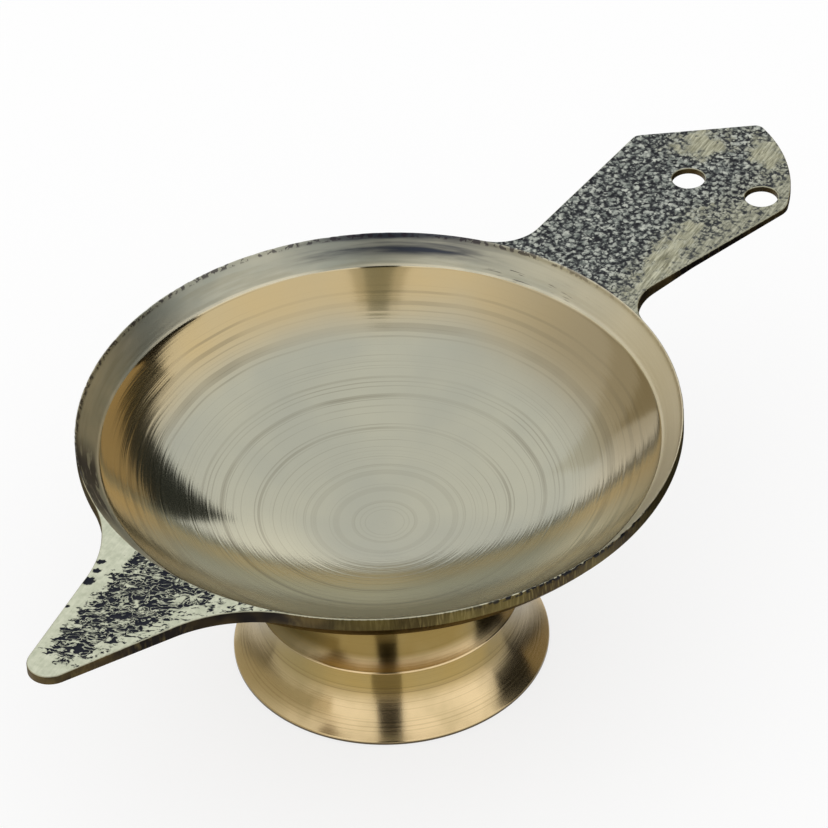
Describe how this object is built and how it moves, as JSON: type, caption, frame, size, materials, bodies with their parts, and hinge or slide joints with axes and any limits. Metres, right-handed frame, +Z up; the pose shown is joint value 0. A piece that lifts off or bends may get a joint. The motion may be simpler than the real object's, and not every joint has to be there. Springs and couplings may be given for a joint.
{
  "type": "aarti lamp",
  "caption": "Brass aarti lamp: a shallow turned dish with a tapering wick spout and a flat drilled paddle handle, brazed onto a hollow stepped foot.",
  "frame": {"origin": "middle of the foot, on the plane that it stands on", "axes": "+Z up along the turning axis, +X along the handle, -X along the wick spout"},
  "size_m": [0.1276, 0.07, 0.034],
  "materials": {
    "dish_brass": "turned semi-matte inside, dark pitted cast skin on the spout and handle",
    "foot_brass": "turned and polished",
    "braze_metal": "turned flush"
  },
  "bodies": {
    "root": {"lamp_dish": "dish_brass", "pedestal_foot": "foot_brass", "braze_joint": "braze_metal"}
  },
  "joints": []
}
